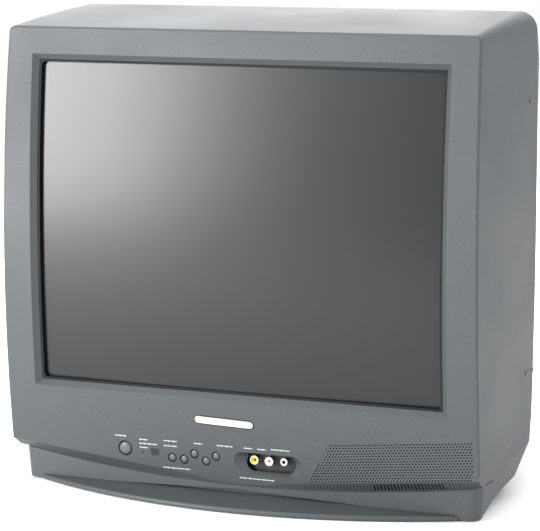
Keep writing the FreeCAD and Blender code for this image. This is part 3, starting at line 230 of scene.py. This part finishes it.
paint(wound("copper_wire", (0.55, 0.22, 0.09)), "line_coils", "field_coils")
paint(grained("yoke_white", (0.68, 0.68, 0.64), rough=0.5), "yoke_housing")
paint(grained("ferrite", (0.05, 0.05, 0.055), rough=0.75, grain=500.0, speckle=0.3, depth=0.0003),
      "ferrite_core")
paint(grained("black_plastic", BLACK, rough=0.5),
      "magnet_sleeve", "chassis_frame", "front_switches", "cord_gland")
paint(grained("magnet_red", (0.40, 0.09, 0.05), rough=0.55), "purity_rings")
paint(grained("magnet_black", (0.05, 0.05, 0.05), rough=0.6), "four_pole_rings")
paint(grained("magnet_grey", (0.12, 0.12, 0.12), rough=0.6), "six_pole_rings")
paint(grained("red_rubber", (0.28, 0.03, 0.02), rough=0.45), "anode_lead")
paint(grained("taped_coil", (0.02, 0.02, 0.022), rough=0.55, grain=300.0, speckle=0.3, depth=0.0003),
      "degaussing_coil")
paint(grained("board_laminate", BOARD, rough=0.45, grain=900.0, speckle=0.2),
      "main_board", "neck_board", "control_board")
paint(grained("potting_black", (0.02, 0.02, 0.02), rough=0.25), "flyback_transformer", "board_components")
paint(grained("pot_white", (0.62, 0.6, 0.55), rough=0.4), "screen_voltage_knob", "focus_knob")
paint(brushed("aluminium", (0.7, 0.71, 0.72), rough=0.35), "line_output_heatsink")
paint(grained("wound_ferrite", (0.07, 0.07, 0.07), rough=0.6, grain=500.0, speckle=0.3),
      "supply_transformer", "mains_filter_choke")
paint(grained("blue_sleeve", (0.02, 0.04, 0.12), rough=0.3), "electrolytic_capacitors")
paint(grained("jack_black", (0.010, 0.010, 0.011), rough=0.4), "rear_jack_block", "front_jack_carrier")
BUTTONS = ("power_button", "menu_button", "input_button", "volume_down_button", "volume_up_button",
           "channel_button")
paint(grained("button_silver", (0.072, 0.083, 0.087), rough=0.40, grain=900.0, speckle=0.1, depth=0.00003,
              gloss=0.6),
      *BUTTONS)
paint(grained("lamp_red", (0.06, 0.008, 0.006), rough=0.2), "standby_lamp")
paint(grained("sensor_black", (0.012, 0.006, 0.006), rough=0.12), "remote_sensor")
paint(brushed("nickel", (0.72, 0.71, 0.68), rough=0.2), "front_jack_rings")
paint(grained("yellow_plastic", (0.80, 0.55, 0.02), rough=0.35), "video_jack_insert")
paint(grained("white_plastic", (0.85, 0.85, 0.82), rough=0.35), "audio_jack_insert")
paint(grained("basket_paint", (0.03, 0.03, 0.03), rough=0.4), "speaker_frame")
paint(grained("paper_pulp", (0.04, 0.04, 0.04), rough=0.85, grain=700.0, speckle=0.3, depth=0.0002),
      "speaker_cone")
paint(grained("black_rubber", (0.018, 0.018, 0.018), rough=0.7), "speaker_surround", "foot_pads")
paint(brushed("black_zinc", (0.05, 0.05, 0.055), rough=0.4), "rear_cover_screws")
paint(grained("wire_sleeve", (0.05, 0.05, 0.25), rough=0.4), "wiring")


# ---------------------------------------------------------------- printed marks and blank badge

FACE_RADIUS = 1540 * MM
FACE_FRONT = -212.2 * MM
FACE_MIDDLE_HEIGHT = 243.4 * MM
ROUND_END_STEPS = 6


def face_depth(z):
    """Depth of the curved face of the front moulding at a height, in metres."""
    return FACE_FRONT + FACE_RADIUS - math.sqrt(FACE_RADIUS ** 2 - (z - FACE_MIDDLE_HEIGHT) ** 2)


def plate(points, mesh_parts, proud):
    """Add a low plate with a bevelled rim that follows the curved face; points are (x, z)."""
    below_face, rim_share = 0.1 * MM, 0.93
    vertices, faces = mesh_parts
    middle_x = sum(x for x, _ in points) / len(points)
    middle_z = sum(z for _, z in points) / len(points)
    start, count = len(vertices), len(points)
    for scale, height in ((1.0, -below_face), (1.0, proud * 0.5), (rim_share, proud)):
        for x, z in points:
            x, z = middle_x + (x - middle_x) * scale, middle_z + (z - middle_z) * scale
            vertices.append((x, face_depth(z) - height, z))
    for ring in (0, 1):
        for index in range(count):
            a, b = start + ring * count + index, start + ring * count + (index + 1) % count
            faces.append((a, b, b + count, a + count))
    faces.append(tuple(start + 2 * count + index for index in range(count)))


def rounded_bar(x, z, half_length, half_height, lean=0.0):
    """The outline of a bar with round ends; lean is its rise along its length."""
    outline = []
    for side in (1, -1):
        for step in range(ROUND_END_STEPS + 1):
            angle = math.pi * step / ROUND_END_STEPS - math.pi / 2
            dx = side * (half_length - half_height + half_height * math.cos(angle))
            dz = side * half_height * math.sin(angle)
            outline.append((x + dx, z + dz + lean * dx))
    return outline


def piece_from(name, mesh_parts, material):
    """Make a visible piece that rides on the set."""
    vertices, faces = mesh_parts
    mesh = bpy.data.meshes.new(name)
    mesh.from_pydata(vertices, [], faces)
    mesh.materials.append(material)
    obj = bpy.data.objects.new(name, mesh)
    bpy.context.scene.collection.objects.link(obj)
    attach(obj, "set")


INK_HEIGHT = 0.08 * MM
MARK_PITCH = 2.4 * MM
# rows of plain bars, with no letters: x of the first bar, height of the row, and number of bars
MARK_ROWS = (
    (-127, 55, 5),                                  # over the power button
    (-101, 53, 4), (-101, 49, 8), (-101, 45, 4),    # over the lamp and the sensor
    (-75, 54, 6), (-75, 49, 6),                     # over the menu and input buttons
    (-43, 54, 4), (-19, 54, 7),                     # over the volume and channel buttons
    (9, 54, 4), (23, 54, 4), (37, 55, 8),           # over the sockets
    (-77, 27, 12), (3, 24, 15),                     # under the buttons and the sockets
)
marks = ([], [])
for row_x, row_z, count in MARK_ROWS:
    for index in range(count):
        half_length = (0.55 + 0.18 * ((index * 5) % 3)) * MM
        half_height = (0.95 - 0.3 * ((index * 7) % 2)) * MM
        bar = rounded_bar(row_x * MM + index * MARK_PITCH, row_z * MM,
                          half_length + half_height * 0.4, half_height * 0.7)
        plate(bar, marks, INK_HEIGHT)
print_ink = grained("print_ink", (0.52, 0.55, 0.56), rough=0.5, grain=1600.0, speckle=0.1, depth=0.00001)
piece_from("printed_marks", marks, print_ink.material)

BADGE_X, BADGE_Z, BADGE_LEAN = -11.4 * MM, 77.7 * MM, -0.026
badge = ([], [])
plate(rounded_bar(BADGE_X, BADGE_Z, 30.0 * MM, 3.4 * MM, BADGE_LEAN), badge, 0.9 * MM)
badge_metal = grained("badge_metal", (0.72, 0.69, 0.58), rough=0.3, grain=1500.0, speckle=0.08,
                      depth=0.00002, metallic=0.4)
piece_from("blank_badge", badge, badge_metal.material)
rim = ([], [])
plate(rounded_bar(BADGE_X, BADGE_Z, 30.9 * MM, 4.3 * MM, BADGE_LEAN), rim, 0.3 * MM)
piece_from("badge_rim", rim, NODES["screen_mask"].data.materials[0])


# ---------------------------------------------------------------- stage and light

FLOOR_HALF = 30.0
FLOOR_HEIGHT = -0.4 * MM

floor_mesh = bpy.data.meshes.new("floor")
floor_mesh.from_pydata([(-FLOOR_HALF, -FLOOR_HALF, 0), (FLOOR_HALF, -FLOOR_HALF, 0),
                        (FLOOR_HALF, FLOOR_HALF, 0), (-FLOOR_HALF, FLOOR_HALF, 0)], [], [(0, 1, 2, 3)])
floor = bpy.data.objects.new("floor", floor_mesh)
floor.location = (0, 0, FLOOR_HEIGHT)
bpy.context.scene.collection.objects.link(floor)
pale = Graph("floor_paint")
pale.link(pale.ramp(pale.noise(3.0), [(0.3, (0.93, 0.93, 0.93)), (0.7, (0.95, 0.95, 0.95))]),
          pale.shader.inputs["Base Color"])
pale.set(Roughness=0.9, Specular_IOR_Level=0.1)
floor.data.materials.append(pale.material)

world = bpy.data.worlds.new("studio")
bpy.context.scene.world = world
world.use_nodes = True
background = world.node_tree.nodes["Background"]
background.inputs["Color"].default_value = (1.0, 1.0, 1.0, 1.0)
background.inputs["Strength"].default_value = 1.1


def area_light(name, size, power, location, aim):
    """A rectangular soft light; sizes and places in metres, power in watts."""
    data = bpy.data.lights.new(name, "AREA")
    data.shape = "RECTANGLE"
    data.size, data.size_y = size
    data.energy = power
    light = bpy.data.objects.new(name, data)
    light.location = location
    direction = Vector(aim) - Vector(location)
    light.rotation_mode = "QUATERNION"
    light.rotation_quaternion = direction.to_track_quat("-Z", "Y")
    bpy.context.scene.collection.objects.link(light)


area_light("overhead", (2.4, 2.4), 50.0, (0.0, 0.2, 2.3), (0, 0, 0.3))
area_light("front_left", (0.50, 1.0), 36.0, (-1.0, -1.5, 0.60), (-0.2, -0.2, 0.38))
area_light("right_strip", (0.22, 1.4), 9.0, (2.4, -0.85, 0.9), (0.24, -0.2, 0.25))
area_light("behind", (2.6, 0.9), 48.0, (-1.05, 2.6, 1.05), (0.0, 0.0, 0.46))

bpy.context.scene.view_settings.view_transform = "Standard"
